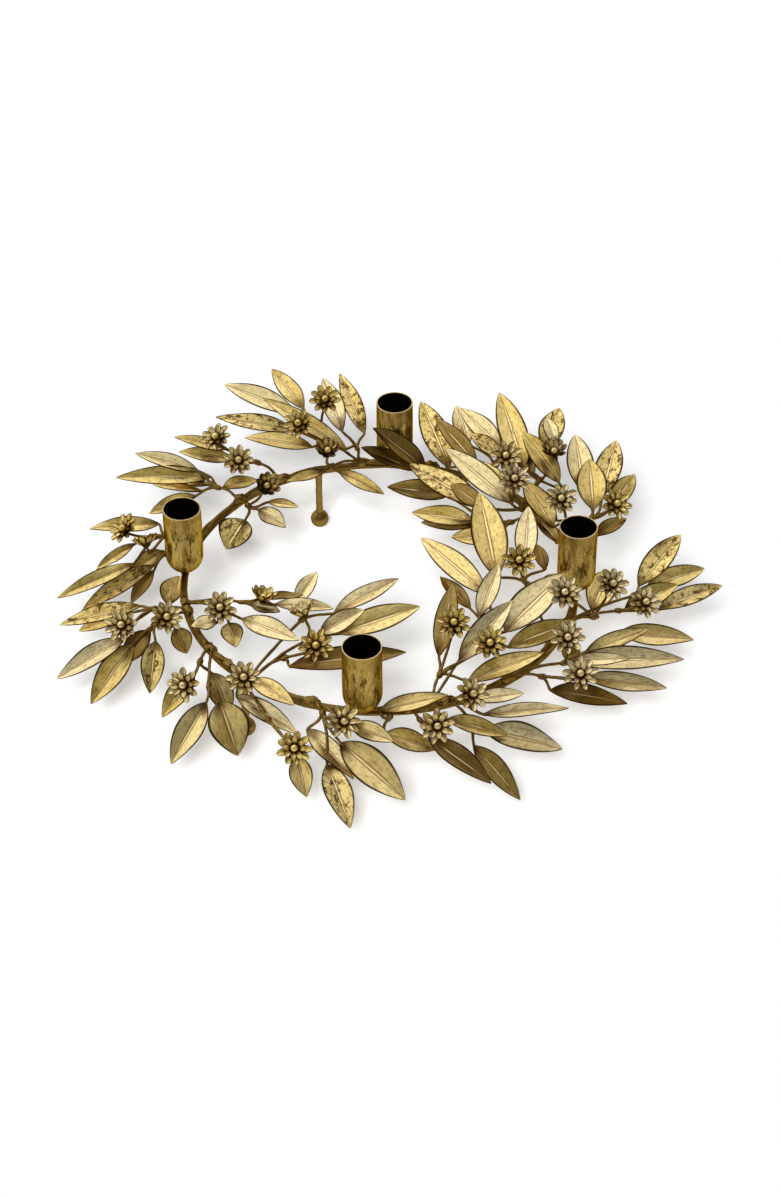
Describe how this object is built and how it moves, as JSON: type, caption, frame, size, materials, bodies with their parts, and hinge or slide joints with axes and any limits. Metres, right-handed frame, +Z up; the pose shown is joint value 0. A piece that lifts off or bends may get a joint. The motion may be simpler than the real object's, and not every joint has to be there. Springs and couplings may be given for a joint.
{
  "type": "wreath candle holder",
  "caption": "Brass wreath of folded leaves and small flowers on a rod ring with ball feet, carrying upright cups for taper candles.",
  "frame": {"origin": "on the table, under the middle of the whole outline", "axes": "+Z up; +X to the right and +Y to the back of the wreath as it is usually shown"},
  "size_m": [0.422, 0.385, 0.096],
  "materials": {
    "rod_brass": "dark antique patina, bright on the high spots",
    "foot_brass": "dark antique patina, worn smooth",
    "cup_brass": "antique patina with brown streaks, bright worn rim",
    "leaf_brass": "satin antique brass with brown mottling along the crease and edges",
    "flower_brass": "satin antique brass, dark between the petals"
  },
  "bodies": {
    "root": {"ring_rod": "rod_brass", "candle_cup_1": "cup_brass", "candle_cup_2": "cup_brass", "candle_cup_3": "cup_brass", "candle_cup_4": "cup_brass", "leg_1": "foot_brass", "ball_foot_1": "foot_brass", "leg_2": "foot_brass", "ball_foot_2": "foot_brass", "leg_3": "foot_brass", "ball_foot_3": "foot_brass", "spray_left_back": "leaf_brass", "flower_left_back_1": "flower_brass", "spray_left_low": "leaf_brass", "flower_left_low_1": "flower_brass", "flower_left_low_2": "flower_brass", "spray_front_left_outer": "leaf_brass", "flower_front_left_outer_1": "flower_brass", "spray_front_left_inner": "leaf_brass", "flower_front_left_inner_1": "flower_brass", "flower_front_left_inner_2": "flower_brass", "spray_front": "leaf_brass", "flower_front_1": "flower_brass", "spray_front_right_low": "leaf_brass", "flower_front_right_low_1": "flower_brass", "spray_front_right_high": "leaf_brass", "flower_front_right_high_1": "flower_brass", "spray_right_low": "leaf_brass", "flower_right_low_1": "flower_brass", "flower_right_low_2": "flower_brass", "spray_right": "leaf_brass", "flower_right_1": "flower_brass", "flower_right_2": "flower_brass", "flower_right_3": "flower_brass", "spray_right_back": "leaf_brass", "flower_right_back_1": "flower_brass", "flower_right_back_2": "flower_brass", "spray_back_right_tall": "leaf_brass", "flower_back_right_tall_1": "flower_brass", "spray_back_right_wide": "leaf_brass", "spray_right_back_inner": "leaf_brass", "flower_right_back_inner_1": "flower_brass", "spray_inner_right": "leaf_brass", "flower_inner_right_1": "flower_brass", "flower_inner_right_2": "flower_brass", "spray_inner_right_back": "leaf_brass", "flower_inner_right_back_1": "flower_brass", "spray_inner_left": "leaf_brass", "flower_inner_left_1": "flower_brass", "spray_inner_left_back": "leaf_brass", "flower_inner_left_back_1": "flower_brass", "spray_back_left_low": "leaf_brass", "spray_back_left_high": "leaf_brass", "flower_back_left_high_1": "flower_brass", "flower_back_left_high_2": "flower_brass", "spray_back_left_tall": "leaf_brass", "flower_back_left_tall_1": "flower_brass", "flower_back_left_tall_2": "flower_brass", "spray_back": "leaf_brass"}
  },
  "joints": []
}
